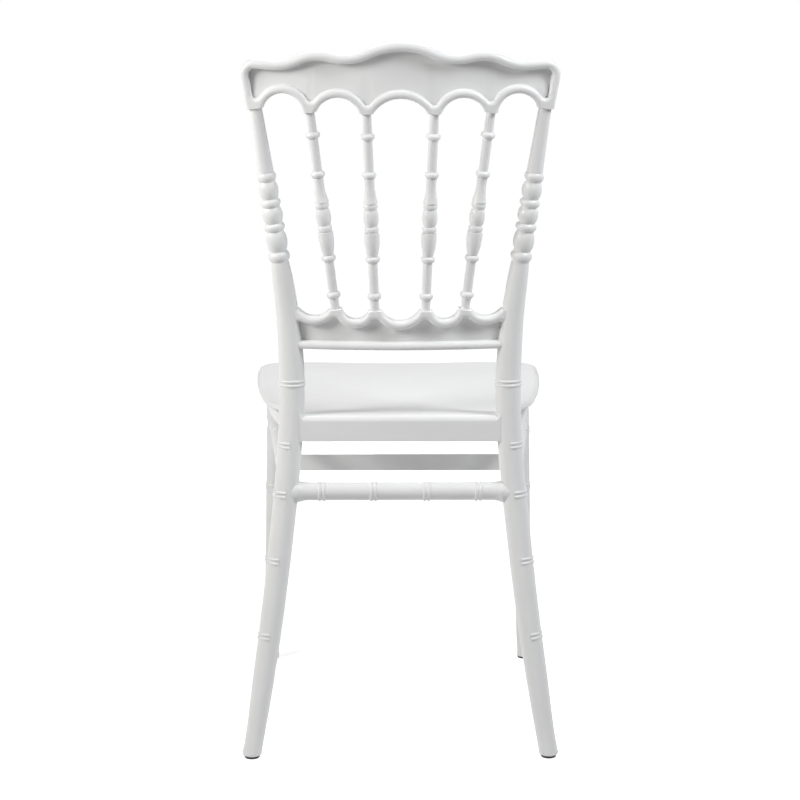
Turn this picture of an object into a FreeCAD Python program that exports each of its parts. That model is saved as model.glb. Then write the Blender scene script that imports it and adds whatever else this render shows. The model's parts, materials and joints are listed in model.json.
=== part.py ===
import FreeCAD
import Part
import os
import re
import Sketcher

Vector = FreeCAD.Vector

# Way that an arc of an outline bends, and the distance below which two places count as one.
LEFT, RIGHT = 1, -1
TOUCH = 0.05

# Plain sizes of the chair: millimetres and degrees. +X is the sitter's left, -Y the front, +Z up.
SIZES = {
    # Fits shared by every joint
    "fit": 0.1,
    "tenon_end_gap": 0.4,
    # Axis of a rear post: its innermost point, and its lean along one diagonal upright plane
    "waist_x": 135,
    "waist_y": 161,
    "waist_z": 468,
    "bend_plan": 45,
    "bend_radius": 680,
    "knee_splay": 7,
    "foot_splay": 13.8,
    "back_splay": 11.05,
    # Rear post thickness, from the foot up
    "foot_dia": 24.5,
    "knee_dia": 31,
    "waist_dia": 32,
    "haunch_dia": 31.3,
    "hip_dia": 26.2,
    "neck_dia": 21.4,
    "foot_round": 3,
    "foot_trim": 0.9,
    # Turned beads of a rear post, measured along its straight upper part
    "beads_start": 28.8,
    "collar_height": 12,
    "inner_collar_height": 10.2,
    "low_ball_height": 25.6,
    "mid_ball_height": 20,
    "high_ball_height": 21.5,
    "bead_dia_low": 27,
    "bead_dia_high": 24.2,
    "bead_seat_dia": 22.6,
    "groove_dia_low": 20.8,
    "groove_dia_high": 18.8,
    "post_upper_dia": 20,
    "post_top_dia": 15.6,
    "post_tenon_dia": 9,
    "post_tenon_length": 14,
    # Pairs of thin ribs on legs and stretchers
    "rib_round": 2,
    "rib_pitch": 5.2,
    "rib_proud": 1.2,
    "waist_rib_sweep": 240,
    "rear_ring_top_z": 472.2,
    "rear_ring_high_z": 393,
    "rear_ring_mid_z": 331,
    "rear_ring_low_z": 247,
    "rear_ring_foot_z": 152.2,
    # Crest rail: outline in its own leaning plane, measured up from the spindle shoulders
    "crest_z": 809.3,
    "crest_bow": 16,
    "crest_thickness": 20,
    "crest_panel": 8.4,
    "crest_rim": 10.5,
    "crest_round": 4.8,
    "crest_end_lift": 4.5,
    "crest_foot_width": 21.4,
    "crest_end_lean": 9.8,
    "crest_corner": 18,
    "crest_shoulder_x": 150,
    "crest_bump_x": 97.3,
    "crest_valley_x": 67.5,
    "crest_valley_height": 69.5,
    "crest_bump_rise": 3.6,
    "crest_peak_rise": 15.3,
    "crest_shoulder_drop": 8.4,
    "crest_tip_rise": 1,
    "arch_end_rise": 20,
    "arch_side_rise": 18,
    "arch_centre_rise": 17.7,
    "panel_corner": 4.5,
    "panel_round": 5.2,
    # Lower back rail
    "rail_z": 516.8,
    "rail_height": 49.2,
    "rail_bow": 12.5,
    "rail_thickness": 20,
    "rail_panel": 8.4,
    "rail_rim": 10,
    "rail_round": 4.4,
    "rail_scallop_start": 124,
    "scallop_end_depth": 8.5,
    "scallop_side_depth": 12,
    "scallop_centre_depth": 13.4,
    "rail_tenon_height": 22,
    "rail_tenon_lift": 14,
    "rail_tenon_thickness": 7,
    "rail_tenon_start": 17,
    "rail_tenon_length": 12,
    # Spindles: where each one stands on the two rails
    "cusp_width": 17,
    "far_top_x": 108.3,
    "far_top_lift": 1.2,
    "far_foot_x": 80,
    "far_foot_lift": 50.4,
    "mid_top_x": 40.5,
    "mid_top_lift": 0.2,
    "mid_foot_x": 31.2,
    "mid_foot_lift": 49,
    # Spindle turning, measured up from the lower shoulder
    "spindle_neck_dia": 11,
    "spindle_plain_dia": 11.8,
    "spindle_ring_dia": 18,
    "spindle_ring_height": 8.2,
    "spindle_ball_dia": 19.2,
    "spindle_vase_dia": 18.6,
    "spindle_waist_dia": 13,
    "spindle_groove_dia": 15.4,
    "spindle_vase_bow": 1.4,
    "spindle_low_ring": 14.3,
    "spindle_mid_ring": 61.2,
    "spindle_low_vase": 29.2,
    "spindle_ball_height": 20.8,
    "spindle_high_vase": 30.4,
    "spindle_top_ring": 24.5,
    "spindle_tenon_dia": 8,
    "spindle_tenon_length": 9.5,
    # Front legs
    "front_foot_x": 184.3,
    "front_foot_y": -191,
    "front_lean_in": 13,
    "front_lean_back": 10,
    "front_foot_dia": 21,
    "front_top_dia": 29,
    "front_ring_high": 341,
    "front_ring_mid": 259,
    "front_ring_low": 151,
    "leg_tenon_dia": 18,
    "leg_tenon_length": 20,
    # Seat pan
    "seat_top": 431,
    "seat_lip": 10,
    "seat_drop": 32,
    "seat_skin": 12,
    "seat_front": 397,
    "seat_side_half": 198.2,
    "seat_corner": 40,
    "seat_rear_half": 176.5,
    "seat_rear_reach": 122,
    "seat_hip_half": 147.5,
    "seat_hip_reach": 64,
    "seat_side_bow": 5.4,
    "seat_hip_bow": 4.5,
    "seat_tail": 13.5,
    "seat_overhang": 13,
    "seat_edge_round": 7,
    "seat_under_round": 2.5,
    "seat_dish": 6.5,
    "seat_dish_front": 2.5,
    "seat_dish_round": 3000,
    "seat_slope_run": 95,
    "seat_flare": 5.5,
    "seat_flare_rise": 4,
    "seat_wall": 6,
    "seat_block_length": 62,
    "seat_block_width": 44,
    "rear_block_half": 100,
    "rear_block_reach": 62,
    "seat_rib": 3.5,
    "seat_rib_drop": 14,
    "seat_rib_side": 55,
    # Stretchers
    "stretcher_dia": 22.8,
    "stretcher_flare_dia": 28,
    "stretcher_flare_length": 13,
    "stretcher_tenon_dia": 12,
    "stretcher_tenon_depth": 9,
    "rear_stretcher_z": 334.4,
    "rear_ring_outer_x": 98.3,
    "rear_ring_inner_x": 33.4,
    "side_stretcher_z": 354,
    "side_ring_reach": 80,
    "front_stretcher_z": 293.2,
    "front_stretcher_dia": 23.6,
    "front_stretcher_flare_dia": 25.6,
    "front_tenon_dia": 9,
    "front_tenon_set": 5.2,
    # Foot glides and seat screws
    "glide_height": 3.2,
    "glide_dia": 19.4,
    "glide_stem_dia": 7,
    "glide_stem_length": 12,
    "screw_z": 411,
    "screw_dia": 5.6,
    "screw_length": 34,
    "screw_head_dia": 11,
    "screw_head_height": 3.6,
    "screw_head_round": 2,
    "screw_socket": 4.4,
    "screw_socket_depth": 2.2,
}

# Sizes that follow from the plain ones, in the order in which they are worked out.
DERIVED = {
    "knee_out": "bend_radius*(1-cos(knee_splay))",
    "knee_z": "waist_z-bend_radius*sin(knee_splay)",
    "leg_radius": "knee_z/(sin(foot_splay)-sin(knee_splay))",
    "hip_out": "bend_radius*(1-cos(back_splay))",
    "hip_z": "waist_z+bend_radius*sin(back_splay)",
    "hip_x": "waist_x+hip_out*cos(bend_plan)",
    "hip_y": "waist_y+hip_out*sin(bend_plan)",
    "crest_rake": "atan(tan(back_splay)*sin(bend_plan))",
    "crest_y": "hip_y+(crest_z-hip_z)*tan(back_splay)*sin(bend_plan)",
    "post_slope": "tan(back_splay)*cos(bend_plan)*cos(crest_rake)",
    "crest_end_x": "hip_x+(crest_z-hip_z)*tan(back_splay)*cos(bend_plan)+crest_end_lift*post_slope",
    "crest_bow_radius": "(crest_end_x^2+crest_bow^2)/(2*crest_bow)",
    "post_length": "(crest_z+crest_end_lift*cos(crest_rake)-hip_z)/cos(back_splay)-fit",
    "rail_middle": "rail_z+rail_height/2",
    "rail_lean": "asin((rail_middle-waist_z)/bend_radius)",
    "rail_rake": "atan(tan(rail_lean)*sin(bend_plan))",
    "rail_end_x": "waist_x+bend_radius*(1-cos(rail_lean))*cos(bend_plan)",
    "rail_y": "waist_y+bend_radius*(1-cos(rail_lean))*sin(bend_plan)-rail_height/2*tan(rail_rake)",
    "rail_bow_radius": "(rail_end_x^2+rail_bow^2)/(2*rail_bow)",
    "wave_side": "((crest_bump_x-crest_valley_x)^2+crest_bump_rise^2)/(4*crest_bump_rise)",
    "wave_peak": "(crest_valley_x^2+crest_peak_rise^2)/(2*crest_peak_rise)-wave_side",
    "bump_total": "crest_bump_rise+crest_shoulder_drop",
    "wave_end": "((crest_shoulder_x-crest_bump_x)^2+bump_total^2)/(2*bump_total)-wave_side",
    "shoulder_height": "crest_valley_height-crest_shoulder_drop",
    "tip_height": "shoulder_height+crest_tip_rise",
    "seat_under": "seat_top-seat_drop",
    "seat_run": "seat_front-seat_corner-seat_rear_reach",
    "seat_taper": "seat_side_half-seat_rear_half",
    "seat_hip_in": "seat_rear_half-seat_hip_half",
    "seat_hip_run": "seat_rear_reach-seat_hip_reach",
    "seat_side_chord": "sqrt(seat_taper^2+seat_run^2)",
    "seat_hip_chord": "sqrt(seat_hip_in^2+seat_hip_run^2)",
    "seat_side_turn": "atan(seat_taper/seat_run)+2*atan(2*seat_side_bow/seat_side_chord)",
    "seat_end_turn": "atan(seat_hip_in/seat_hip_run)+2*atan(2*seat_hip_bow/seat_hip_chord)",
    "seat_rim": "seat_edge_round-seat_tail",
    "slope_round": "(seat_slope_run^2+seat_dish^2)/(4*seat_dish)",
    "dish_tilt": "atan((seat_dish-seat_dish_front)/(seat_front-seat_rim-seat_slope_run))",
    "front_lean": "atan(sqrt(front_lean_in^2+front_lean_back^2)/seat_under)",
    "front_leg_length": "sqrt(front_lean_in^2+front_lean_back^2+seat_under^2)",
}
for stance in ("far", "mid"):
    for end, rail in (("top", "crest"), ("foot", "rail")):
        spot = f"{stance}_{end}"
        DERIVED[f"{spot}_bow"] = f"sqrt({rail}_bow_radius^2-{spot}_x^2)+{rail}_bow-{rail}_bow_radius"
        DERIVED[f"{spot}_y"] = f"{rail}_y+{spot}_bow*cos({rail}_rake)+{spot}_lift*sin({rail}_rake)"
        DERIVED[f"{spot}_z"] = f"{rail}_z-{spot}_bow*sin({rail}_rake)+{spot}_lift*cos({rail}_rake)"
    DERIVED[f"{stance}_run_x"] = f"{stance}_top_x-{stance}_foot_x"
    DERIVED[f"{stance}_run_y"] = f"{stance}_top_y-{stance}_foot_y"
    DERIVED[f"{stance}_run_z"] = f"{stance}_top_z-{stance}_foot_z"
    DERIVED[f"{stance}_side"] = f"sqrt({stance}_run_x^2+{stance}_run_y^2)"
    DERIVED[f"{stance}_length"] = f"sqrt({stance}_side^2+{stance}_run_z^2)"
    DERIVED[f"{stance}_lean"] = f"atan({stance}_side/{stance}_run_z)"
    DERIVED[f"{stance}_slope"] = f"{stance}_run_x/{stance}_run_z"

doc = FreeCAD.newDocument("chair")
sheet = doc.addObject("Spreadsheet::Sheet", "size")
for row, (word, number) in enumerate(SIZES.items(), start=1):
    sheet.set(f"A{row}", word)
    sheet.set(f"B{row}", str(number))
    sheet.setAlias(f"B{row}", word)
doc.recompute()


def formula(text):
    """Point every size word of a formula at the object that holds it."""

    def holder(match):
        word = match.group(0)
        if word in SIZES:
            return "size." + word
        if word in DERIVED:
            return "follows." + word
        return word

    return re.sub(r"[a-z][a-z_]*", holder, str(text))


def bind(item, prop, text):
    item.setExpression(prop, formula(text))


def value(text):
    return float(sheet.evalExpression(formula(text)))


follows = doc.addObject("App::VarSet", "follows")
for word, text in DERIVED.items():
    follows.addProperty("App::PropertyFloat", word)
    bind(follows, word, text)
doc.recompute()


def arc_centre(start, end, radius, turn):
    """Centre of the short arc between two points; turn is LEFT or RIGHT."""
    middle = (start + end) * 0.5
    chord = end - start
    reach = max(radius ** 2 - (chord.Length / 2) ** 2, 0.0) ** 0.5
    normal = Vector(-chord.y, chord.x, 0).normalize()
    return middle + normal * (reach * turn)


def draw(sketch, path):
    """Closed outline of (x, y) corners; (x, y, turn, radius) bends the edge that leaves the corner."""
    corners = [Vector(value(point[0]), value(point[1]), 0) for point in path]
    ends = []
    for index, point in enumerate(path):
        start = corners[index]
        end = corners[(index + 1) % len(path)]
        if len(point) == 2:
            sketch.addGeometry(Part.LineSegment(start, end))
            ends.append((1, 2))
            continue
        turn = point[2]
        radius = value(point[3])
        centre = arc_centre(start, end, radius, turn)
        first, last = (start, end) if turn > 0 else (end, start)
        ring = Part.Circle(centre, Vector(0, 0, 1), radius)
        sketch.addGeometry(Part.ArcOfCircle(ring, ring.parameter(first), ring.parameter(last)))
        ends.append((1, 2) if turn > 0 else (2, 1))
    for index, point in enumerate(path):
        after = (index + 1) % len(path)
        sketch.addConstraint(Sketcher.Constraint("Coincident", index, ends[index][1], after, ends[after][0]))
        places = (("DistanceX", point[0], corners[index].x), ("DistanceY", point[1], corners[index].y))
        for kind, text, place in places:
            number = sketch.addConstraint(Sketcher.Constraint(kind, -1, 1, index, ends[index][0], place))
            bind(sketch, f"Constraints[{number}]", text)
        if len(point) == 4:
            number = sketch.addConstraint(Sketcher.Constraint("Radius", index, value(point[3])))
            bind(sketch, f"Constraints[{number}]", point[3])
    return sketch


def both_sides(half):
    """Close a half outline that starts and ends on the middle line by mirroring it."""
    path = list(half[:-1])
    for index in range(len(half) - 1, 0, -1):
        x, y = half[index][:2]
        path.append((f"-({x})", y) + tuple(half[index - 1][2:]))
    return path


def body_sketch(body, name, role, lift=None):
    sketch = body.newObject("Sketcher::SketchObject", name)
    plane = [feature for feature in body.Origin.OriginFeatures if feature.Role == role][0]
    sketch.AttachmentSupport = [(plane, "")]
    sketch.MapMode = "FlatFace"
    if lift is not None:
        bind(sketch, "AttachmentOffset.Base.z", lift)
    return sketch


def add_pad(body, name, path, bottom, height):
    pad = body.newObject("PartDesign::Pad", name)
    pad.Profile = draw(body_sketch(body, name + "_outline", "XY_Plane", bottom), path)
    bind(pad, "Length", height)
    return pad


def turn_body(name, stations):
    """Solid turned about its own Z axis; stations are (radius, height[, turn, bend radius]) going up."""
    body = doc.addObject("PartDesign::Body", name)
    low, high = stations[0][1], stations[-1][1]
    path = [("0", low)] + list(stations) + [("0", high)]
    profile = draw(body_sketch(body, name + "_profile", "XZ_Plane"), path)
    solid = body.newObject("PartDesign::Revolution", name + "_turning")
    solid.Profile = profile
    solid.ReferenceAxis = (profile, ["V_Axis"])
    solid.Angle = 360
    return body


def pose(item, x, y, z, axis, angle):
    bind(item, "Placement", f"placement(vector({x}; {y}; {z}); vector({axis}); {angle})")
    return item


def cylinder(name, radius, height):
    solid = doc.addObject("Part::Cylinder", name)
    bind(solid, "Radius", radius)
    bind(solid, "Height", height)
    return solid


def box(name, length, width, height, x, y, z):
    solid = doc.addObject("Part::Box", name)
    bind(solid, "Length", length)
    bind(solid, "Width", width)
    bind(solid, "Height", height)
    return pose(solid, x, y, z, "0; 0; 1", "0")


def cut(name, base, *tools):
    tool = tools[0] if len(tools) == 1 else fuse(name + "_tools", *tools)
    result = doc.addObject("Part::Cut", name)
    result.Base = base
    result.Tool = tool
    result.Refine = False
    return result


def drill(name, base, *tools):
    """Cut one tool after another, which holds up better than one cut on a bent surface."""
    for step, tool in enumerate(tools[:-1]):
        base = cut(f"{name}_step_{step}", base, tool)
    return cut(name, base, tools[-1])


def fuse(name, *items):
    result = doc.addObject("Part::MultiFuse", name)
    result.Shapes = list(items)
    result.Refine = False
    return result


def build_up(name, *items):
    """Join one piece after another, which holds up better than one join on a bent surface."""
    result = items[0]
    for step, item in enumerate(items[1:], start=2):
        result = fuse(name if step == len(items) else f"{name}_step_{step}", result, item)
    return result


def common(name, base, tool):
    result = doc.addObject("Part::Common", name)
    result.Base = base
    result.Tool = tool
    return result


def mirror(name, source):
    result = doc.addObject("Part::Mirroring", name)
    result.Source = source
    result.Normal = Vector(1, 0, 0)
    return result


def bulge(low, high, swell):
    """Radius of an arc that stands out by swell between two heights."""
    return f"((({high}-({low}))/2)^2+({swell})^2)/(2*({swell}))"


def sag(start, end, rise):
    """Radius of an arc that rises by the given amount over the chord between two corners."""
    across = f"({end[0]}-({start[0]}))"
    along = f"({end[1]}-({start[1]}))"
    return f"(({across}^2+{along}^2)/4+({rise})^2)/(2*({rise}))"


def rib_pair(core, middle):
    """Stations of two thin round ribs that stand out from a plain turned bar."""
    stations = []
    for step in ("-rib_pitch/2", "rib_pitch/2"):
        low = f"{middle}+{step}-rib_round"
        high = f"{middle}+{step}+rib_round"
        stations.append((core, low, LEFT, bulge(low, high, "rib_proud")))
        stations.append((core, high))
    return stations


# Rear post: axis in one upright diagonal plane, a sabre leg below and a straight turned post above.
def post_spot(height):
    """Plan position and lean of the rear post axis at a height below the waist."""
    if value(height) < value("knee_z") + TOUCH:
        lean = f"asin(sin(knee_splay)+(knee_z-({height}))/leg_radius)"
        out = f"(knee_out+leg_radius*(cos(knee_splay)-cos({lean})))"
    else:
        lean = f"asin((waist_z-({height}))/bend_radius)"
        out = f"(bend_radius*(1-cos({lean})))"
    return f"waist_x+{out}*cos(bend_plan)", f"waist_y+{out}*sin(bend_plan)", lean


FOOT_LEVEL = "(glide_height+foot_round)"


def leg_dia(height):
    """Diameter of the rear leg at a height between the foot and the waist."""
    if value(height) < value("knee_z") + TOUCH:
        part = f"(({height})-{FOOT_LEVEL})/(knee_z-{FOOT_LEVEL})"
        return f"(foot_dia+(knee_dia-foot_dia)*(1-(1-{part})^2))"
    return f"(knee_dia+(waist_dia-knee_dia)*(({height})-knee_z)/(waist_z-knee_z))"


leg_body = doc.addObject("PartDesign::Body", "post_leg")
sections = []
for share in (0, 0.2, 0.4, 0.6, 0.8, 1):
    height = f"{FOOT_LEVEL}+(knee_z-{FOOT_LEVEL})*{share}"
    x, y, lean = post_spot(height)
    sections.append((x, y, height, leg_dia(height)))
sections.append(("waist_x", "waist_y", "waist_z", "waist_dia"))
for share, dia in ((0.35, "haunch_dia"), (0.7, "(haunch_dia+hip_dia)/2"), (1, "hip_dia")):
    lean = f"(back_splay*{share})"
    out = f"(bend_radius*(1-cos{lean}))"
    height = f"waist_z+bend_radius*sin{lean}"
    sections.append((f"waist_x+{out}*cos(bend_plan)", f"waist_y+{out}*sin(bend_plan)", height, dia))
rounds = []
for index, (x, y, height, dia) in enumerate(sections):
    rounds.append(body_sketch(leg_body, f"post_section_{index}", "XY_Plane"))
    bind(rounds[-1], "AttachmentOffset", f"placement(vector({x}; {y}; {height}); vector(0; 0; 1); 0)")


def post_point(run):
    """Plan position and height of a point of the straight upper axis, by its distance from the hip."""
    out = f"({run})*sin(back_splay)"
    return f"hip_x+{out}*cos(bend_plan)", f"hip_y+{out}*sin(bend_plan)", f"hip_z+({run})*cos(back_splay)"


POST_TURN = "-sin(bend_plan); cos(bend_plan); 0"
neck_spot = "; ".join(post_point("beads_start"))
rounds.append(body_sketch(leg_body, "post_section_neck", "XY_Plane"))
bind(rounds[-1], "AttachmentOffset", f"placement(vector({neck_spot}); vector({POST_TURN}); back_splay)")
for sketch, dia in zip(rounds, [section[3] for section in sections] + ["neck_dia"]):
    sketch.addGeometry(Part.Circle(Vector(), Vector(0, 0, 1), value(dia) / 2))
    sketch.addConstraint(Sketcher.Constraint("Coincident", 0, 3, -1, 1))
    number = sketch.addConstraint(Sketcher.Constraint("Diameter", 0, value(dia)))
    bind(sketch, f"Constraints[{number}]", dia)
shaft = leg_body.newObject("PartDesign::AdditiveLoft", "post_shaft")
shaft.Profile = rounds[0]
shaft.Sections = rounds[1:]
doc.recompute()


def edge_names(shape, wanted):
    return [f"Edge{number}" for number, edge in enumerate(shape.Edges, start=1) if wanted(edge.BoundBox)]


foot_x, foot_y, lean = post_spot(FOOT_LEVEL)
foot_edge = f"{leg_dia(FOOT_LEVEL)}/2"
post_foot = turn_body("post_foot", [
    (f"{foot_edge}-foot_round", "glide_height", LEFT, "foot_round"),
    (foot_edge, FOOT_LEVEL),
])
pose(post_foot, foot_x, foot_y, "0", "0; 0; 1", "0")


def graded(word, share):
    """Diameter part of the way from the lowest bead or groove to the highest."""
    return f"({word}_dia_low+({word}_dia_high-{word}_dia_low)*{share})"


level = "beads_start"
root = "bead_seat_dia/2"
turning = []
beads = ("collar_height", "low_ball_height", "inner_collar_height", "mid_ball_height", "inner_collar_height",
         "high_ball_height", "collar_height")
for index, bead in enumerate(beads):
    share = index / (len(beads) - 1)
    start = (root, level)
    root = f"{graded('groove', share)}/2"
    level = f"{level}+{bead}"
    swell = f"{graded('bead', share)}/2-({start[0]}+{root})/2"
    turning.append(start + (LEFT, sag(start, (root, level), swell)))
turning.append((root, level))
turning.append(("post_upper_dia/2", level))
turning.append(("post_top_dia/2", "post_length"))
turning.append(("post_tenon_dia/2", "post_length"))
turning.append(("post_tenon_dia/2", "post_length+post_tenon_length"))
post_upper = turn_body("post_upper", turning)
pose(post_upper, "hip_x", "hip_y", "hip_z", POST_TURN, "back_splay")


def rib_ring(name, radius, sweep):
    """A thin rib: part of a ring of round wire let into a rod of the given radius."""
    ring = doc.addObject("Part::Torus", name)
    bind(ring, "Radius1", f"{radius}+rib_proud-rib_round")
    bind(ring, "Radius2", "rib_round")
    bind(ring, "Angle3", sweep)
    return ring


def leg_rib(name, height):
    """One thin rib round the outer half of the rear leg."""
    x, y, lean = post_spot(height)
    rib = rib_ring(name, f"{leg_dia(height)}/2", "180")
    tilt = f"rotation(vector({POST_TURN}); -{lean})"
    spin = "rotation(vector(0; 0; 1); -90)"
    bind(rib, "Placement", f"placement(vector({x}; {y}; {height}); {tilt} * {spin})")
    return rib


ribs = []
for word in ("high", "mid", "low", "foot"):
    for step in ("-", "+"):
        ribs.append(leg_rib(f"post_rib_{word}_{len(ribs)}", f"rear_ring_{word}_z{step}rib_pitch/2"))
for step in ("-", "+"):
    waist_rib = rib_ring(f"post_rib_top_{len(ribs)}", "waist_dia/2", "waist_rib_sweep")
    start = "90-waist_rib_sweep/2"
    pose(waist_rib, "waist_x", "waist_y", f"rear_ring_top_z{step}rib_pitch/2", "0; 0; 1", start)
    ribs.append(waist_rib)
post_form = build_up("post_form", leg_body, post_foot, post_upper, *ribs)
post_form_right = mirror("post_form_right", post_form)


def extrude(name, profile, depth, way=Vector(0, 1, 0)):
    solid = doc.addObject("Part::Extrusion", name)
    solid.Base = profile
    solid.DirMode = "Custom"
    solid.Dir = way
    solid.Symmetric = True
    solid.Solid = True
    bind(solid, "LengthFwd", depth)
    return solid


def bow_band(word, part, reach):
    """Upright curved band of the given thickness along the bow of a rail."""
    shells = []
    for side in ("+", "-"):
        radius = f"{word}_bow_radius{side}{word}_{part}/2"
        shell = cylinder(f"{word}_{part}_{len(shells)}", radius, f"{reach}*3")
        shells.append(pose(shell, "0", f"{word}_bow-{word}_bow_radius", f"-{reach}", "0; 0; 1", "0"))
    return cut(f"{word}_{part}_band", *shells)


def bowed_rail(word, path, reach):
    """Rail cut to an outline, bowed in plan, with a raised rim round a recessed panel on both faces."""
    outline = doc.addObject("Sketcher::SketchObject", word + "_outline")
    outline.Placement = FreeCAD.Placement(Vector(), FreeCAD.Rotation(Vector(1, 0, 0), 90))
    draw(outline, path)
    core = doc.addObject("Part::Offset2D", word + "_core")
    core.Source = outline
    bind(core, "Value", f"-{word}_rim-panel_corner")
    inset = doc.addObject("Part::Offset2D", word + "_inset")
    inset.Source = core
    bind(inset, "Value", "panel_corner")
    slab = extrude(word + "_slab", outline, f"{word}_thickness*8")
    inner = extrude(word + "_inner_slab", inset, f"{word}_thickness*8")
    shell = common(word + "_shell", slab, bow_band(word, "thickness", reach))
    recess = cut(word + "_recess", inner, bow_band(word, "panel", reach))
    return cut(word + "_blank", shell, recess)


# Crest rail: five arches below, a wave above, feet square to the posts and spindles.
def crest_foot(middle, lift, width, slope):
    """Inner and outer corner of a foot that stands square to a leaning spindle or post."""
    run = f"({width}/2*cos(atan({slope})))"
    fall = f"({width}/2*sin(atan({slope})))"
    return (f"{middle}-{run}", f"{lift}+{fall}"), (f"{middle}+{run}", f"{lift}-{fall}")


def between(first, second, first_radius, second_radius):
    """Point where two outline arcs touch, from their centres and radii."""
    share = f"({first_radius})/({first_radius}+({second_radius}))"
    return tuple(f"{one}+({two}-({one}))*{share}" for one, two in zip(first, second))


mid_in, mid_out = crest_foot("mid_top_x", "mid_top_lift", "cusp_width", "mid_slope")
far_in, far_out = crest_foot("far_top_x", "far_top_lift", "cusp_width", "far_slope")
end_in, end_out = crest_foot("crest_end_x", "crest_end_lift", "crest_foot_width", "post_slope")
corner_run = "crest_corner*tan(45+crest_end_lean/2)"
corner_x = f"({end_out[0]}+(tip_height-({end_out[1]}))*tan(crest_end_lean))"
end_centre = ("crest_shoulder_x", "shoulder_height+wave_end")
bump_centre = ("crest_bump_x", "crest_valley_height+crest_bump_rise-wave_side")
valley_centre = ("crest_valley_x", "crest_valley_height+wave_side")
peak_centre = ("0", "crest_valley_height+crest_peak_rise-wave_peak")
arch_top = ("0", f"{mid_in[1]}+arch_centre_rise")
arch_radius = f"(({mid_in[0]})^2+arch_centre_rise^2)/(2*arch_centre_rise)"
crest_half = [
    arch_top + (RIGHT, arch_radius),
    mid_in,
    mid_out + (RIGHT, sag(mid_out, far_in, "arch_side_rise")),
    far_in,
    far_out + (RIGHT, sag(far_out, end_in, "arch_end_rise")),
    end_in,
    end_out,
    (f"{corner_x}-{corner_run}*sin(crest_end_lean)", f"tip_height-{corner_run}*cos(crest_end_lean)",
     LEFT, "crest_corner"),
    (f"{corner_x}-{corner_run}", "tip_height"),
    ("crest_shoulder_x", "shoulder_height", RIGHT, "wave_end"),
    between(bump_centre, end_centre, "wave_side", "wave_end") + (LEFT, "wave_side"),
    between(bump_centre, valley_centre, "wave_side", "wave_side") + (RIGHT, "wave_side"),
    between(peak_centre, valley_centre, "wave_peak", "wave_side") + (LEFT, "wave_peak"),
    ("0", "crest_valley_height+crest_peak_rise"),
]


def joint_edge(word, points):
    """True for an edge of a foot or of an end that another piece stands against."""
    run = max(point.x for point in points) - min(point.x for point in points)
    rise = max(point.z for point in points) - min(point.z for point in points)
    if word == "crest":
        return max(point.z for point in points) < value("arch_centre_rise") / 2
    if run < TOUCH:
        return True
    level = min(value("mid_foot_lift"), value("far_foot_lift")) - value("cusp_width") / 4
    return min(point.z for point in points) > level and rise < value("cusp_width") / 4


def round_rims(word, blank):
    """Round the rim edges of a bowed rail, leaving the feet that meet other pieces sharp."""
    doc.recompute()
    inset = doc.getObject(word + "_inset").Shape
    radius = value(f"{word}_bow_radius")
    centre = value(f"{word}_bow") - radius
    half = value(f"{word}_thickness") / 2
    chosen = []
    for number, edge in enumerate(blank.Shape.Edges, start=1):
        span = edge.LastParameter - edge.FirstParameter
        points = [edge.valueAt(edge.FirstParameter + span * step / 4) for step in range(5)]
        reaches = [(point.x ** 2 + (point.y - centre) ** 2) ** 0.5 for point in points]
        gaps = [abs(abs(reach - radius) - half) for reach in reaches]
        if max(gaps) > TOUCH or joint_edge(word, points):
            continue
        flat = Part.Vertex(Vector(points[2].x, 0, points[2].z))
        inside = inset.distToShape(flat)[0] < TOUCH
        size = value("panel_round" if inside else f"{word}_round")
        chosen.append((number, size, size))
    rounded = doc.addObject("Part::Fillet", word + "_form")
    rounded.Base = blank
    rounded.Edges = chosen
    return pose(rounded, "0", f"{word}_y", f"{word}_z", "1; 0; 0", f"-{word}_rake")


crest_form = round_rims("crest", bowed_rail("crest", both_sides(crest_half), "crest_valley_height"))

# Lower back rail: scallops above with a foot for each spindle, straight bead below.
mid_in, mid_out = crest_foot("mid_foot_x", "mid_foot_lift", "cusp_width", "mid_slope")
far_in, far_out = crest_foot("far_foot_x", "far_foot_lift", "cusp_width", "far_slope")
scallop_start = ("rail_scallop_start", "rail_height")
scallop_low = ("0", f"{mid_in[1]}-scallop_centre_depth")
scallop_radius = f"(({mid_in[0]})^2+scallop_centre_depth^2)/(2*scallop_centre_depth)"
rail_half = [
    ("0", "0"),
    ("rail_end_x", "0"),
    ("rail_end_x", "rail_height"),
    scallop_start + (RIGHT, sag(scallop_start, far_out, "scallop_end_depth")),
    far_out,
    far_in + (RIGHT, sag(far_in, mid_out, "scallop_side_depth")),
    mid_out,
    mid_in + (RIGHT, scallop_radius),
    scallop_low,
]
rail_form = round_rims("rail", bowed_rail("rail", both_sides(rail_half), "rail_height"))


def rail_tenon(name, grow, gap):
    """Flat tenon at the left end of the lower back rail, or the mortise for it."""
    solid = doc.addObject("Part::Box", name)
    bind(solid, "Length", f"rail_tenon_length+{gap}")
    bind(solid, "Width", f"rail_tenon_thickness+2*{grow}")
    bind(solid, "Height", f"rail_tenon_height+2*{grow}")
    corner = f"vector(rail_end_x-rail_tenon_start; -rail_tenon_thickness/2-{grow}; rail_tenon_lift-{grow})"
    frame = "placement(vector(0; rail_y; rail_z); vector(1; 0; 0); -rail_rake)"
    bind(solid, "Placement", f"{frame} * placement({corner}; vector(0; 0; 1); 0)")
    return solid


rail_coped = drill("rail_coped", rail_form, post_form, post_form_right)
tenon_left = rail_tenon("rail_tenon_left", "0", "0")
lower_rail_solid = fuse("rail_solid", rail_coped, tenon_left, mirror("rail_tenon_right", tenon_left))
rail_mortise = rail_tenon("rail_mortise", "fit", "tenon_end_gap")


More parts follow.
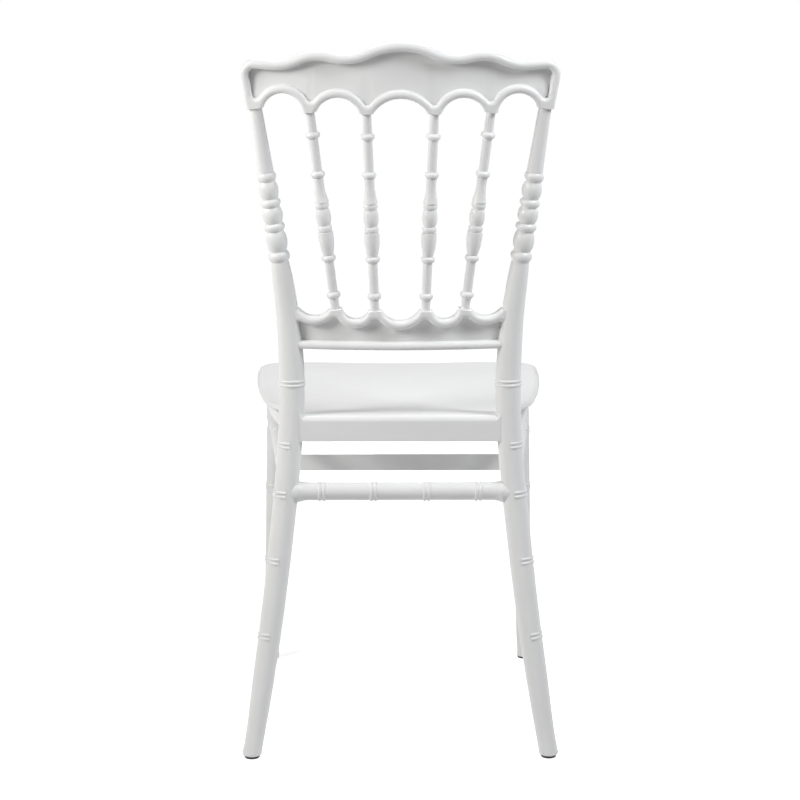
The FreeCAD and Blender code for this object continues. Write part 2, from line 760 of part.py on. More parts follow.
# Spindles: one turning, stood on the lower rail and leaned to its own place on the crest rail.
def spindle(name, stance):
    neck, plain = "spindle_neck_dia/2", "spindle_plain_dia/2"
    groove, tenon = "spindle_groove_dia/2", "spindle_tenon_dia/2"
    stations = [(tenon, "-spindle_tenon_length"), (tenon, "fit"), (neck, "fit")]

    def bead(low, high, root, dia):
        stations.append((root, low, LEFT, bulge(low, high, f"{dia}/2-{root}")))
        stations.append((root, high))

    level = "spindle_low_ring"
    bead(level, f"{level}+spindle_ring_height", plain, "spindle_ring_dia")
    level = "spindle_mid_ring"
    bead(level, f"{level}+spindle_ring_height", plain, "spindle_ring_dia")
    start = ("spindle_waist_dia/2", f"{level}+spindle_ring_height")
    level = f"{start[1]}+spindle_low_vase"
    end = ("spindle_vase_dia/2", level)
    stations.append(start + (LEFT, sag(start, end, "spindle_vase_bow")))
    stations.append(end)
    for word in ("ring", "ball", "ring"):
        height, dia = f"spindle_{word}_height", f"spindle_{word}_dia"
        stations.append((groove, level, LEFT, bulge(level, f"{level}+{height}", f"{dia}/2-{groove}")))
        level = f"{level}+{height}"
    stations.append((groove, level))
    start = ("spindle_vase_dia/2", level)
    level = f"{level}+spindle_high_vase"
    end = ("spindle_waist_dia/2", level)
    stations.append(start + (RIGHT, sag(start, end, "spindle_vase_bow")))
    stations.append(end)
    bead(level, f"{level}+spindle_ring_height", plain, "spindle_ring_dia")
    level = f"{stance}_length-spindle_top_ring-spindle_ring_height"
    bead(level, f"{level}+spindle_ring_height", plain, "spindle_ring_dia")
    shoulder = f"{stance}_length-fit"
    stations += [(neck, shoulder), (tenon, shoulder), (tenon, f"{stance}_length+spindle_tenon_length")]
    return stand(turn_body(name, stations), stance, "0")


def stand(item, stance, drop):
    """Put an upright piece on a spindle axis, lowered along it by the given amount."""
    spot = [f"{stance}_foot_{way}-{stance}_run_{way}/{stance}_length*({drop})" for way in ("x", "y", "z")]
    return pose(item, *spot, f"-{stance}_run_y; {stance}_run_x; 0", f"{stance}_lean")


spindles = {}
spindle_bores = []
for stance in ("far", "mid"):
    left = spindle(f"spindle_{stance}_left", stance)
    spindles[left.Name] = left
    spindles[f"spindle_{stance}_right"] = mirror(f"spindle_{stance}_right", left)
    reach = "(spindle_tenon_length+tenon_end_gap)"
    bore = cylinder(f"spindle_bore_{stance}", "spindle_tenon_dia/2+fit", f"{stance}_length+2*{reach}")
    stand(bore, stance, reach)
    spindle_bores += [bore, mirror(f"spindle_bore_{stance}_right", bore)]

post_bore = cylinder("post_bore", "post_tenon_dia/2+fit", "post_tenon_length+tenon_end_gap+fit+post_top_dia")
pose(post_bore, *post_point("post_length-post_top_dia"), POST_TURN, "back_splay")
crest_rail = cut("crest_rail", crest_form, post_bore, mirror("post_bore_right", post_bore), *spindle_bores)
lower_back_rail = cut("lower_back_rail", lower_rail_solid, *spindle_bores)


# Front legs: plain cones with pairs of ribs, cut level at the floor and under the seat.
def front_spot(height):
    share = f"({height})/seat_under"
    return f"front_foot_x-front_lean_in*{share}", f"front_foot_y+front_lean_back*{share}"


def front_radius(height):
    return f"(front_foot_dia+(front_top_dia-front_foot_dia)*({height})/seat_under)/2"


front_axis = "-front_lean_back; -front_lean_in; 0"
stations = [
    (f"{front_radius('0')}-foot_round", "glide_height-foot_trim", LEFT, "foot_round"),
    (front_radius("0"), "glide_height-foot_trim+foot_round"),
]
for word in ("low", "mid", "high"):
    stations += rib_pair(front_radius(f"front_ring_{word}"), f"front_ring_{word}")
stations.append((front_radius("seat_under"), "front_leg_length+seat_lip/2"))
leg_turned = turn_body("front_leg_turned", stations)
pose(leg_turned, "front_foot_x", "front_foot_y", "0", front_axis, "front_lean")
span = "seat_side_half*4"
floor_cut = box("floor_cut", span, span, "seat_drop", f"-{span}/2", f"-{span}/2", "glide_height-seat_drop")
seat_cut = box("seat_cut", span, span, "seat_top", f"-{span}/2", f"-{span}/2", "seat_under")
leg_form = cut("front_leg_form", leg_turned, floor_cut, seat_cut)
leg_form_right = mirror("front_leg_form_right", leg_form)


def leg_tenon(name, grow, gap):
    """Round tenon on a front leg, or the socket for it in the seat."""
    solid = cylinder(name, f"leg_tenon_dia/2+{grow}", f"leg_tenon_length*2+{gap}")
    x, y = front_spot("seat_under-leg_tenon_length")
    return pose(solid, x, y, "seat_under-leg_tenon_length", front_axis, "front_lean")


front_leg_solid = fuse("front_leg_solid", leg_form, leg_tenon("front_leg_tenon", "0", "0"))
leg_socket = leg_tenon("front_leg_socket", "fit", "tenon_end_gap")


# Seat pan: rounded lip over a set back skirt, hollow below, with a solid block at each leg.
def reach_y(text):
    return f"waist_y-({text})"


def seat_outline(inset):
    """Plan of the seat, or of a smaller plan that runs inside it."""
    front = reach_y(f"seat_front-{inset}")
    side = (f"seat_side_half-{inset}", reach_y("seat_front-seat_corner"))
    rear = (f"seat_rear_half-{inset}*cos(seat_side_turn)",
            reach_y(f"seat_rear_reach+{inset}*sin(seat_side_turn)"))
    hip = (f"seat_hip_half-{inset}*cos(seat_end_turn)", reach_y(f"seat_hip_reach+{inset}*sin(seat_end_turn)"))
    return both_sides([
        ("0", front),
        ("seat_side_half-seat_corner", front, LEFT, f"seat_corner-{inset}"),
        side + (LEFT, sag(side, rear, "seat_side_bow")),
        rear + (LEFT, sag(rear, hip, "seat_hip_bow")),
        hip,
        ("waist_x", reach_y("-seat_tail")),
        ("0", reach_y("-seat_tail")),
    ])


seat_body = doc.addObject("PartDesign::Body", "seat_body")
lip = add_pad(seat_body, "seat_lip_pad", seat_outline("0"), "seat_top-seat_lip", "seat_lip")
doc.recompute()
lip_edge = seat_body.newObject("PartDesign::Fillet", "seat_lip_round")
level = value("seat_top") - TOUCH
lip_edge.Base = (lip, edge_names(lip.Shape, lambda box: box.ZMin > level))
bind(lip_edge, "Radius", "seat_edge_round")
doc.recompute()
under_edge = seat_body.newObject("PartDesign::Fillet", "seat_under_edge")
level = value("seat_top-seat_lip") + TOUCH
rear = value("waist_y")
wanted = edge_names(lip_edge.Shape, lambda box: box.ZMax < level and box.YMin < rear)
under_edge.Base = (lip_edge, wanted)
bind(under_edge, "Radius", "seat_under_round")
doc.recompute()
skirt_height = "seat_drop-seat_lip+seat_edge_round/2"
add_pad(seat_body, "seat_skirt", seat_outline("seat_overhang"), "seat_under", skirt_height)
doc.recompute()
inner = "(seat_overhang+seat_wall)"
block_x = f"seat_side_half-{inner}-seat_block_width"
block_y = f"seat_front-{inner}-seat_block_length"
hollow = seat_body.newObject("PartDesign::Pocket", "seat_hollow")
hollow.Profile = draw(body_sketch(seat_body, "seat_hollow_outline", "XY_Plane", "seat_under"), both_sides([
    ("0", reach_y(f"seat_front-{inner}")),
    (block_x, reach_y(f"seat_front-{inner}")),
    (block_x, reach_y(block_y)),
    (f"seat_side_half-{inner}-seat_taper/8", reach_y(block_y)),
    (f"seat_rear_half-{inner}", reach_y("seat_rear_reach")),
    (f"seat_hip_half-{inner}", reach_y("rear_block_reach")),
    ("rear_block_half", reach_y("rear_block_reach")),
    ("rear_block_half", reach_y("seat_wall-seat_tail")),
    ("0", reach_y("seat_wall-seat_tail")),
]))
bind(hollow, "Length", "seat_drop-seat_skin")
hollow.Reversed = True
doc.recompute()
rib_z = "seat_top-seat_skin-seat_rib_drop"
rib_high = "seat_rib_drop+seat_rib"
rib_run = "(seat_front-seat_overhang+seat_tail-seat_wall)"
rib_start = reach_y("seat_front-seat_overhang-seat_wall/2")
side_rib = box("seat_rib_side_bar", "seat_rib", rib_run, rib_high, "seat_rib_side", rib_start, rib_z)
seat_ribs = [side_rib, mirror("seat_rib_side_right", side_rib)]

# Seat dish: a shallow trough from side to side that a soft slope closes at the rear edge.
slope = doc.addObject("Sketcher::SketchObject", "seat_slope_outline")
upright = "rotation(vector(0; 0; 1); -90) * rotation(vector(1; 0; 0); 90)"
bind(slope, "Placement", f"placement(vector(0; {reach_y('seat_rim')}; seat_top); {upright})")
draw(slope, [
    ("0", "seat_lip"),
    ("0", "0", RIGHT, "slope_round"),
    ("seat_slope_run/2", "-seat_dish/2", LEFT, "slope_round"),
    ("seat_slope_run", "-seat_dish"),
    ("seat_front+seat_corner", "-seat_dish"),
    ("seat_front+seat_corner", "seat_lip"),
])
slope_slab = extrude("seat_slope_slab", slope, "seat_side_half*3", Vector(1, 0, 0))
trough = cylinder("seat_trough", "seat_dish_round", "seat_front*2")
trough_y = reach_y("seat_rim+seat_slope_run-seat_front/2")
pose(trough, "0", f"{trough_y}+seat_dish_round*sin(dish_tilt)",
     "seat_top-seat_dish+seat_dish_round*cos(dish_tilt)-seat_front/2*tan(dish_tilt)",
     "1; 0; 0", "90-dish_tilt")
dish = common("seat_dish_tool", slope_slab, trough)
seat_dished = cut("seat_dished", fuse("seat_ribbed", seat_body, *seat_ribs), dish)

# Seat collars: the seat curls up a little where it meets each rear post.
collar_plan = doc.addObject("PartDesign::Body", "seat_collar_plan")
add_pad(collar_plan, "seat_collar_pad", seat_outline("0"), "seat_top-seat_lip", "seat_lip+seat_flare_rise")
low = ("waist_dia/2+seat_flare", "seat_top-seat_edge_round")
high = ("waist_dia/2", "seat_top+seat_flare_rise")
collar_turned = turn_body("seat_collar_turned", [
    (low[0], "seat_top-seat_lip"),
    low + (RIGHT, sag(low, high, "seat_flare/4")),
    high,
])
pose(collar_turned, *post_spot("seat_top")[:2], "0", "0; 0; 1", "0")
collar = common("seat_collar", collar_plan, collar_turned)
seat_solid = build_up("seat_solid", seat_dished, collar, mirror("seat_collar_right", collar))


# Seat screws: one for each leg, driven outwards from inside the seat.
def screw_parts(name, start, y):
    """A pan head screw with a hexagonal socket, and the straight hole for it, along +X."""
    stations = [
        ("screw_head_dia/2-screw_head_round", "-screw_head_height", LEFT, "screw_head_round"),
        ("screw_head_dia/2", "screw_head_round-screw_head_height"),
        ("screw_head_dia/2", "0"),
        ("screw_dia/2", "0"),
        ("screw_dia/2", "screw_length-screw_dia"),
        ("screw_dia/8", "screw_length"),
    ]
    solid = turn_body(name + "_solid", stations)
    socket = doc.addObject("Part::Prism", name + "_socket")
    bind(socket, "Circumradius", "screw_socket/2")
    bind(socket, "Height", "screw_socket_depth")
    hole = cylinder(name + "_hole", "screw_dia/2+fit", "screw_length+tenon_end_gap")
    for item, shift in ((solid, "0"), (socket, "screw_head_height"), (hole, "0")):
        pose(item, f"{start}-{shift}", y, "screw_z", "0; 1; 0", "90")
    return cut(name, solid, socket), hole


rear_screw, rear_hole = screw_parts("rear_screw", "rear_block_half", post_spot("screw_z")[1])
front_screw, front_hole = screw_parts("front_screw", block_x, front_spot("screw_z")[1])
screws = [rear_screw, front_screw]
screws += [mirror(screw.Name + "_right", screw) for screw in screws]
seat_screws = fuse("seat_screws", *screws)
seat_tools = [leg_socket, rear_hole, front_hole]
seat_tools += [mirror(tool.Name + "_right", tool) for tool in seat_tools]
seat_pan = cut("seat_pan", seat_solid, post_form, post_form_right, *seat_tools)


# Stretchers: turned bars with pairs of ribs, flared and coped where they meet the legs.
def bar_stations(low, high, radius, flare, ring_spots):
    """Turning between two leg surfaces, run on into the legs so that it can be coped."""
    start, end = f"({low}+stretcher_flare_length)", f"({high}-stretcher_flare_length)"
    first, second = (flare, low), (radius, start)
    third, fourth = (radius, end), (flare, high)
    bow = f"({flare}-({radius}))/4"
    stations = [(flare, f"{low}-stretcher_flare_length"), first + (RIGHT, sag(first, second, bow)), second]
    for spot in ring_spots:
        stations += rib_pair(radius, spot)
    stations += [third + (RIGHT, sag(third, fourth, bow)), fourth, (flare, f"{high}+stretcher_flare_length")]
    return stations


bar_radius, bar_flare = "stretcher_dia/2", "stretcher_flare_dia/2"
core_radius = "stretcher_tenon_dia/2"
rear_x, rear_y, lean = post_spot("rear_stretcher_z")
rear_face = f"({rear_x}-{leg_dia('rear_stretcher_z')}/2)"
rings = ["-rear_ring_outer_x", "-rear_ring_inner_x", "rear_ring_inner_x", "rear_ring_outer_x"]
rear_bar = turn_body("rear_bar", bar_stations(f"-{rear_face}", rear_face, bar_radius, bar_flare, rings))
pose(rear_bar, "0", rear_y, "rear_stretcher_z", "0; 1; 0", "90")
rear_coped = cut("rear_coped", rear_bar, post_form, post_form_right)
rear_tip = f"({rear_face}+stretcher_tenon_depth)"
rear_core = cylinder("rear_core", core_radius, f"2*{rear_tip}")
pose(rear_core, f"-{rear_tip}", rear_y, "rear_stretcher_z", "0; 1; 0", "90")
rear_socket = cylinder("rear_socket", f"{core_radius}+fit", f"2*({rear_tip}+tenon_end_gap)")
pose(rear_socket, f"-{rear_tip}-tenon_end_gap", rear_y, "rear_stretcher_z", "0; 1; 0", "90")
rear_stretcher = fuse("rear_stretcher", rear_coped, rear_core)

back_x, back_y, lean = post_spot("side_stretcher_z")
fore_x, fore_y = front_spot("side_stretcher_z")
side_run_x, side_run_y = f"({fore_x}-({back_x}))", f"({fore_y}-({back_y}))"
side_length = f"sqrt({side_run_x}^2+{side_run_y}^2)"
side_low = f"({leg_dia('side_stretcher_z')}/2)"
side_high = f"({side_length}-{front_radius('side_stretcher_z')})"
middle = f"{side_length}/2"
rings = [f"{middle}-side_ring_reach", f"{middle}+side_ring_reach"]
side_axis = f"-{side_run_y}; {side_run_x}; 0"
side_bar = turn_body("side_bar", bar_stations(side_low, side_high, bar_radius, bar_flare, rings))
pose(side_bar, back_x, back_y, "side_stretcher_z", side_axis, "90")
side_coped = cut("side_coped", side_bar, post_form, leg_form)


def side_rod(name, radius, gap):
    start = f"({side_low}-stretcher_tenon_depth-{gap})"
    end = f"({side_high}+stretcher_tenon_depth+{gap})"
    rod = cylinder(name, radius, f"{end}-{start}")
    shift = f"{start}/{side_length}"
    spot = (f"{back_x}+{side_run_x}*{shift}", f"{back_y}+{side_run_y}*{shift}")
    return pose(rod, *spot, "side_stretcher_z", side_axis, "90")


left_stretcher = fuse("left_stretcher", side_coped, side_rod("side_core", core_radius, "0"))
side_socket = side_rod("side_socket", f"{core_radius}+fit", "tenon_end_gap")

front_x, front_y = front_spot("front_stretcher_z")
front_face = f"({front_x}-{front_radius('front_stretcher_z')})"
front_bar = turn_body("front_bar", bar_stations(f"-{front_face}", front_face, "front_stretcher_dia/2",
                                                "front_stretcher_flare_dia/2", []))
pose(front_bar, "0", front_y, "front_stretcher_z", "0; 1; 0", "90")
back_corner = (f"-{span}/2", front_y, f"front_stretcher_z-{span}/2")
back_cut = box("front_bar_back", span, "seat_corner", span, *back_corner)
front_coped = cut("front_coped", front_bar, leg_form, leg_form_right, back_cut)


def front_rod(name, radius, gap):
    tip = f"({front_face}+stretcher_tenon_depth+{gap})"
    rod = cylinder(name, radius, f"2*{tip}")
    return pose(rod, f"-{tip}", f"{front_y}-front_tenon_set", "front_stretcher_z", "0; 1; 0", "90")


front_stretcher = fuse("front_stretcher", front_coped, front_rod("front_core", "front_tenon_dia/2", "0"))
front_socket = front_rod("front_socket", "front_tenon_dia/2+fit", "tenon_end_gap")


# Foot glides: dark discs under the legs, each with a stem pressed up into the leg.
def glide_parts(name, x, y):
    stations = [
        ("glide_dia/2-glide_height/2", "0", LEFT, "glide_height/2"),
        ("glide_dia/2", "glide_height/2"),
        ("glide_dia/2", "glide_height"),
        ("glide_stem_dia/2", "glide_height"),
        ("glide_stem_dia/2", "glide_height+glide_stem_length"),
    ]
    hole = cylinder(name + "_hole", "glide_stem_dia/2+fit", "glide_height+glide_stem_length+tenon_end_gap")
    pose(hole, x, y, "0", "0; 0; 1", "0")
    return pose(turn_body(name, stations), x, y, "0", "0; 0; 1", "0"), hole


left_rear_glide, rear_stem = glide_parts("left_rear_glide", foot_x, foot_y)
left_front_glide, front_stem = glide_parts("left_front_glide", *front_spot("glide_height"))

post_holes = (rail_mortise, rear_hole, rear_socket, side_socket, rear_stem)
left_rear_post = drill("left_rear_post", post_form, *post_holes)
left_front_leg = cut("left_front_leg", front_leg_solid, front_hole, front_socket, side_socket, front_stem)

NODES = {
    "left_rear_post": left_rear_post,
    "right_rear_post": mirror("right_rear_post", left_rear_post),
    "crest_rail": crest_rail,
    "lower_back_rail": lower_back_rail,
    **spindles,
    "seat_pan": seat_pan,
    "left_front_leg": left_front_leg,
    "right_front_leg": mirror("right_front_leg", left_front_leg),
    "rear_stretcher": rear_stretcher,
    "front_stretcher": front_stretcher,
    "left_stretcher": left_stretcher,
    "right_stretcher": mirror("right_stretcher", left_stretcher),
    "left_rear_glide": left_rear_glide,
    "right_rear_glide": mirror("right_rear_glide", left_rear_glide),
    "left_front_glide": left_front_glide,
    "right_front_glide": mirror("right_front_glide", left_front_glide),
    "seat_screws": seat_screws,
}

PIECES = {"seat_screws": len(screws)}

doc.recompute()
faults = [item.Name for item in doc.Objects if {"Invalid", "Error"} & set(item.State)]
faults += [name for name, item in NODES.items() if item.Shape.isNull() or not item.Shape.isValid()]
faults += [name for name, item in NODES.items() if len(item.Shape.Solids) != PIECES.get(name, 1)]
if faults:
    raise RuntimeError("not built: " + ", ".join(faults))
os.makedirs("parts", exist_ok=True)
for name, item in NODES.items():
    item.Label = name
    item.Shape.exportStep(f"parts/{name}.step")
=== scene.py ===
import json
import math

import bpy
from mathutils import Matrix, Vector


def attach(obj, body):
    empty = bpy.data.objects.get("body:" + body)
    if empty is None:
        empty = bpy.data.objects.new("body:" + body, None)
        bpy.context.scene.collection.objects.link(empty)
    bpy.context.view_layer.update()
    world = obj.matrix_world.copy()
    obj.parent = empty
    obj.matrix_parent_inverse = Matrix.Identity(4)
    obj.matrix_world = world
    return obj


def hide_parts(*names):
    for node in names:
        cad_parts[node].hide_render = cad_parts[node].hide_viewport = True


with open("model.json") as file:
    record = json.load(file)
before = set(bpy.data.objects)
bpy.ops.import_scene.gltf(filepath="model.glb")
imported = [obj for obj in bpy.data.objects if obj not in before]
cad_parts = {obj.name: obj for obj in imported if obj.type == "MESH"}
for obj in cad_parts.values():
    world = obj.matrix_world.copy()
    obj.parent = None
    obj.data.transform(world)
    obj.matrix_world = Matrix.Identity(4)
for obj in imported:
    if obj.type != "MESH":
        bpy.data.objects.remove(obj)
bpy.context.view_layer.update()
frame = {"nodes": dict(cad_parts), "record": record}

SCENE = bpy.context.scene

# Camera behind the chair: its place in metres, its downward pitch and its turn in degrees, and its focal
# length in pixels of a square image.
CAMERA_SPOT = (0.021, 2.661, 0.925)
CAMERA_PITCH = 10.77
CAMERA_TURN = 0.48
FOCAL_PIXELS = 2036
IMAGE_PIXELS = 800
SENSOR_WIDTH = 36.0

# Surfaces: two tones and the noise that mixes them, the range of roughness and its noise, and bumps from the
# lowest layer up, each a noise, a height in metres and a strength. A noise is its scale in cycles per metre,
# its detail and its roughness. The constants go to the shader's own sockets.
SURFACES = {
    # Satin moulded plastic: faint tone clouds, soft scuffs, fine moulding grain and slow waves of the flow.
    "white_resin": {
        "tones": ((0.765, 0.765, 0.765, 1.0), (0.80, 0.80, 0.80, 1.0)),
        "tone_noise": (9.0, 3.0, 0.5),
        "roughness": (0.36, 0.46),
        "roughness_noise": (55.0, 6.0, 0.65),
        "bumps": (((1400.0, 2.0, 0.5), 0.00004, 0.35), ((70.0, 2.0, 0.5), 0.0003, 0.10)),
        "constants": {"IOR": 1.49},
    },
    # Matt black rubber with a pebbled skin and a little dust.
    "foot_rubber": {
        "tones": ((0.012, 0.012, 0.013, 1.0), (0.032, 0.031, 0.030, 1.0)),
        "tone_noise": (240.0, 4.0, 0.5),
        "roughness": (0.62, 0.85),
        "roughness_noise": (240.0, 4.0, 0.5),
        "bumps": (((2200.0, 2.0, 0.5), 0.00008, 0.5),),
        "constants": {"IOR": 1.5},
    },
    # Zinc-plated steel with fine scratches.
    "screw_steel": {
        "tones": ((0.52, 0.52, 0.53, 1.0), (0.66, 0.66, 0.66, 1.0)),
        "tone_noise": (900.0, 5.0, 0.7),
        "roughness": (0.24, 0.42),
        "roughness_noise": (900.0, 5.0, 0.7),
        "bumps": (((900.0, 5.0, 0.7), 0.00003, 0.4),),
        "constants": {"Metallic": 1.0},
    },
}
# Part of a noise's range that is spread over the whole range of a tone or a roughness.
NOISE_LOW, NOISE_HIGH = 0.3, 0.7

# Bowed rails: node, place of its lower line in y and z, rake in degrees, rise and radius of its bow, the two
# heights above the lower line between which its rear panel leans, and how far it sinks at each of them.
BOWED_RAILS = (
    ("crest_rail", 0.19905, 0.8093, 7.862, 0.016, 0.95045, 0.018, 0.050, -0.0012, 0.0055),
    ("lower_back_rail", 0.16192, 0.5168, 4.390, 0.0125, 0.76591, 0.0, 0.050, 0.004, 0.004),
)
PANEL_HALF = 0.0042
SURFACE_SLACK = 0.00002
SAME_POINT_DIGITS = 6

# Floor: half its width, its tone, and its own light near the chair and far from it, with the two distances.
# That light is lower near the chair, where the lamps and the shadow fall.
FLOOR_HALF = 30.0
FLOOR_TONE = (0.82, 0.82, 0.82, 1.0)
FLOOR_GLOW_NEAR, FLOOR_GLOW_FAR = 0.66, 1.0
FLOOR_NEAR, FLOOR_FAR = 0.5, 2.4

# World: the strength of its light on the chair, and where it is seen itself.
WORLD_LIGHT, WORLD_SEEN = 0.02, 1.0
WHITE = (1.0, 1.0, 1.0, 1.0)

# Lamps: name, place, point they face, width, power and colour. The main ones stand to both sides behind the
# chair, the left ones low and the right ones high. Of the weak ones before it, the high one lights the seat,
# and the low one, below the seat's level, the front of the legs and the back.
MIDDLE, UPPER_BACK, LOWER_FRONT = (0.0, 0.15, 0.7), (0.0, 0.2, 0.8), (0.0, 0.0, 0.55)
WARM, PLAIN, COOL = (1.0, 0.99, 0.97), (1.0, 1.0, 1.0), (0.97, 0.985, 1.0)
LAMPS = (
    ("key_left", (1.87, 0.83, 1.62), MIDDLE, 0.6, 12.6, WARM),
    ("side_left", (2.16, 0.45, 1.00), MIDDLE, 0.6, 4.4, WARM),
    ("near_left", (1.05, 0.75, 1.15), UPPER_BACK, 0.4, 8.8, WARM),
    ("key_right", (-1.40, 0.80, 2.26), MIDDLE, 0.9, 28.5, COOL),
    ("near_right", (-1.00, 0.75, 1.45), UPPER_BACK, 0.4, 6.0, COOL),
    ("front_high", (0.0, -1.60, 2.20), MIDDLE, 1.2, 10.5, PLAIN),
    ("front_low", (0.30, -2.00, 0.16), LOWER_FRONT, 0.4, 9.0, PLAIN),
)


def new_material(name):
    """An empty node material, with its nodes and links."""
    material = bpy.data.materials.new(name)
    material.use_nodes = True
    nodes = material.node_tree.nodes
    nodes.clear()
    return material, nodes, material.node_tree.links


def add(nodes, kind, **inputs):
    """Add a shader node and set its input values by name."""
    node = nodes.new(kind)
    for name, value in inputs.items():
        node.inputs[name].default_value = value
    return node


def spread(nodes, links, source, low, high, start, end):
    """Map values of a socket from start to end to the numbers from low to high."""
    node = nodes.new("ShaderNodeMapRange")
    for name, value in (("From Min", start), ("From Max", end), ("To Min", low), ("To Max", high)):
        node.inputs[name].default_value = value
    links.new(source, node.inputs["Value"])
    return node.outputs["Result"]


def noise(nodes, links, place, scale, detail, roughness):
    """A noise in metres of the object's own space."""
    node = add(nodes, "ShaderNodeTexNoise", Scale=scale, Detail=detail, Roughness=roughness)
    links.new(place, node.inputs["Vector"])
    return node.outputs["Fac"]


def surface(name, tones, tone_noise, roughness, roughness_noise, bumps, constants):
    """A material of one row of the surfaces."""
    material, nodes, links = new_material(name)
    place = add(nodes, "ShaderNodeTexCoord").outputs["Object"]
    shader = add(nodes, "ShaderNodeBsdfPrincipled", **constants)
    mix = nodes.new("ShaderNodeMix")
    mix.data_type = "RGBA"
    mix.inputs["A"].default_value, mix.inputs["B"].default_value = tones
    share = noise(nodes, links, place, *tone_noise)
    links.new(spread(nodes, links, share, 0.0, 1.0, NOISE_LOW, NOISE_HIGH), mix.inputs["Factor"])
    links.new(mix.outputs["Result"], shader.inputs["Base Color"])
    wear = noise(nodes, links, place, *roughness_noise)
    links.new(spread(nodes, links, wear, *roughness, NOISE_LOW, NOISE_HIGH), shader.inputs["Roughness"])
    normal = None
    for bump_noise, height, strength in bumps:
        bump = add(nodes, "ShaderNodeBump", Strength=strength, Distance=height)
        links.new(noise(nodes, links, place, *bump_noise), bump.inputs["Height"])
        if normal is not None:
            links.new(normal, bump.inputs["Normal"])
        normal = bump.outputs["Normal"]
    links.new(normal, shader.inputs["Normal"])
    output = nodes.new("ShaderNodeOutputMaterial")
    links.new(shader.outputs["BSDF"], output.inputs["Surface"])
    return material


def mesh_point(vertex):
    """A vertex's place, the same for all vertices at one point."""
    return tuple(round(value, SAME_POINT_DIGITS) for value in vertex.co)


def sink_panel(name, y, z, rake, bow, radius, low, high, low_sink, high_sink):
    """Stand in for a rail with a copy whose rear panel lies deeper, as its shadows in the photograph show."""
    piece = bpy.data.objects.new(name + "_sunk", frame["nodes"][name].data.copy())
    SCENE.collection.objects.link(piece)
    stand = Matrix.Translation((0, y, z)) @ Matrix.Rotation(math.radians(-rake), 4, "X")
    unstand = stand.inverted()
    inward = stand.to_3x3() @ Vector((0, -1, 0))
    vertices = piece.data.vertices
    on_panel = []
    for vertex in vertices:
        spot = unstand @ vertex.co
        depth = math.hypot(spot.x, spot.y - bow + radius) - radius - PANEL_HALF
        on_panel.append(abs(depth) < SURFACE_SLACK)
    sunk = set()
    for face in piece.data.polygons:
        if all(on_panel[index] for index in face.vertices):
            sunk.update(mesh_point(vertices[index]) for index in face.vertices)
    for vertex in vertices:
        if mesh_point(vertex) in sunk:
            share = min(max(((unstand @ vertex.co).z - low) / (high - low), 0), 1)
            vertex.co += inward * (low_sink + share * (high_sink - low_sink))
    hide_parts(name)
    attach(piece, "root")


def seen_directly(nodes, links):
    """1 for rays that show the background itself: from the camera, in a gloss or through glass."""
    path = nodes.new("ShaderNodeLightPath")
    total = path.outputs["Is Camera Ray"]
    for name in ("Is Glossy Ray", "Is Transmission Ray"):
        larger = nodes.new("ShaderNodeMath")
        larger.operation = "MAXIMUM"
        links.new(total, larger.inputs[0])
        links.new(path.outputs[name], larger.inputs[1])
        total = larger.outputs["Value"]
    return total


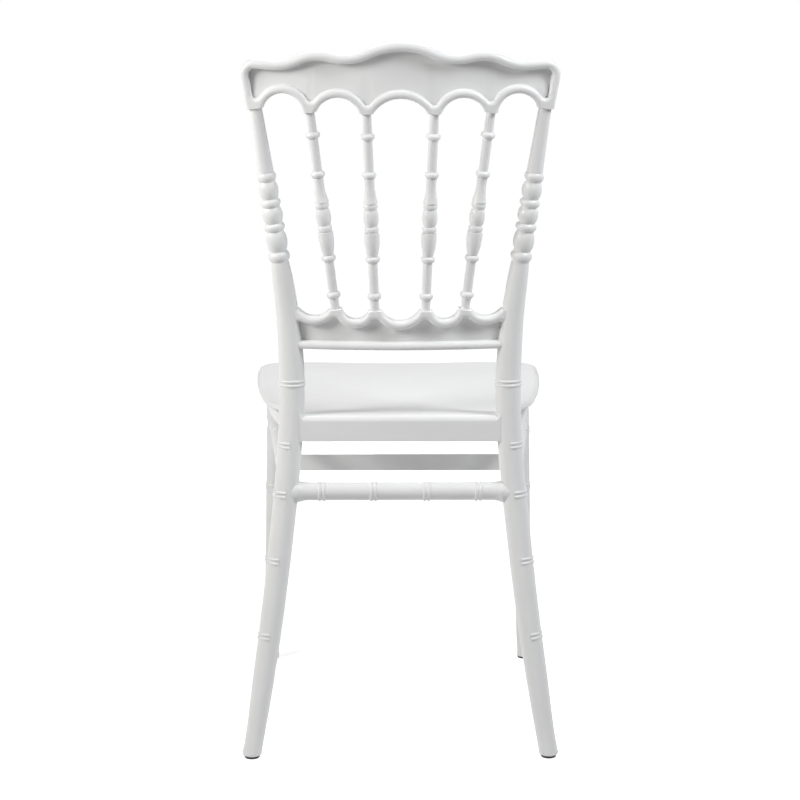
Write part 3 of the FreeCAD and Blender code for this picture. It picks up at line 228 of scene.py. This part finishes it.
def add_floor():
    """Matt white, with its own light added only where it is seen, so that it reads as a white sheet."""
    mesh = bpy.data.meshes.new("floor")
    corners = [(x * FLOOR_HALF, y * FLOOR_HALF, 0) for x, y in ((-1, -1), (1, -1), (1, 1), (-1, 1))]
    mesh.from_pydata(corners, [], [(0, 1, 2, 3)])
    floor = bpy.data.objects.new("floor", mesh)
    SCENE.collection.objects.link(floor)
    material, nodes, links = new_material("floor_white")
    paper = add(nodes, "ShaderNodeBsdfDiffuse", Color=FLOOR_TONE)
    reach = nodes.new("ShaderNodeVectorMath")
    reach.operation = "LENGTH"
    links.new(add(nodes, "ShaderNodeTexCoord").outputs["Object"], reach.inputs[0])
    distance = reach.outputs["Value"]
    level = spread(nodes, links, distance, FLOOR_GLOW_NEAR, FLOOR_GLOW_FAR, FLOOR_NEAR, FLOOR_FAR)
    strength = nodes.new("ShaderNodeMath")
    strength.operation = "MULTIPLY"
    links.new(seen_directly(nodes, links), strength.inputs[0])
    links.new(level, strength.inputs[1])
    glow = add(nodes, "ShaderNodeEmission", Color=WHITE)
    links.new(strength.outputs["Value"], glow.inputs["Strength"])
    both = nodes.new("ShaderNodeAddShader")
    links.new(paper.outputs["BSDF"], both.inputs[0])
    links.new(glow.outputs["Emission"], both.inputs[1])
    output = nodes.new("ShaderNodeOutputMaterial")
    links.new(both.outputs["Shader"], output.inputs["Surface"])
    mesh.materials.append(material)


def add_world():
    """A little soft light all round, white where it is seen."""
    world = bpy.data.worlds.new("studio")
    SCENE.world = world
    world.use_nodes = True
    nodes, links = world.node_tree.nodes, world.node_tree.links
    nodes.clear()
    background = add(nodes, "ShaderNodeBackground", Color=WHITE)
    strength = spread(nodes, links, seen_directly(nodes, links), WORLD_LIGHT, WORLD_SEEN, 0.0, 1.0)
    links.new(strength, background.inputs["Strength"])
    output = nodes.new("ShaderNodeOutputWorld")
    links.new(background.outputs["Background"], output.inputs["Surface"])


def add_lamp(name, spot, target, size, power, colour):
    """A round area lamp that faces its target."""
    lamp = bpy.data.lights.new(name, "AREA")
    lamp.shape = "DISK"
    lamp.size = size
    lamp.energy = power
    lamp.color = colour
    item = bpy.data.objects.new(name, lamp)
    item.location = spot
    item.rotation_euler = (Vector(target) - Vector(spot)).to_track_quat("-Z", "Y").to_euler()
    SCENE.collection.objects.link(item)


def add_camera():
    """The photograph's view, from straight behind."""
    data = bpy.data.cameras.new("camera")
    data.sensor_width = SENSOR_WIDTH
    data.lens = SENSOR_WIDTH * FOCAL_PIXELS / IMAGE_PIXELS
    camera = bpy.data.objects.new("camera", data)
    camera.location = CAMERA_SPOT
    camera.rotation_euler = (math.radians(90 - CAMERA_PITCH), 0, math.radians(180 - CAMERA_TURN))
    SCENE.collection.objects.link(camera)
    SCENE.camera = camera


materials = {name: surface(name, **row) for name, row in SURFACES.items()}
for entry in frame["record"]["subparts"]:
    node = frame["nodes"][entry["node"]]
    node.data.materials.clear()
    node.data.materials.append(materials[entry["material_slot"]])
for rail in BOWED_RAILS:
    sink_panel(*rail)
add_floor()
add_world()
for lamp in LAMPS:
    add_lamp(*lamp)
add_camera()
SCENE.view_settings.view_transform = "Standard"
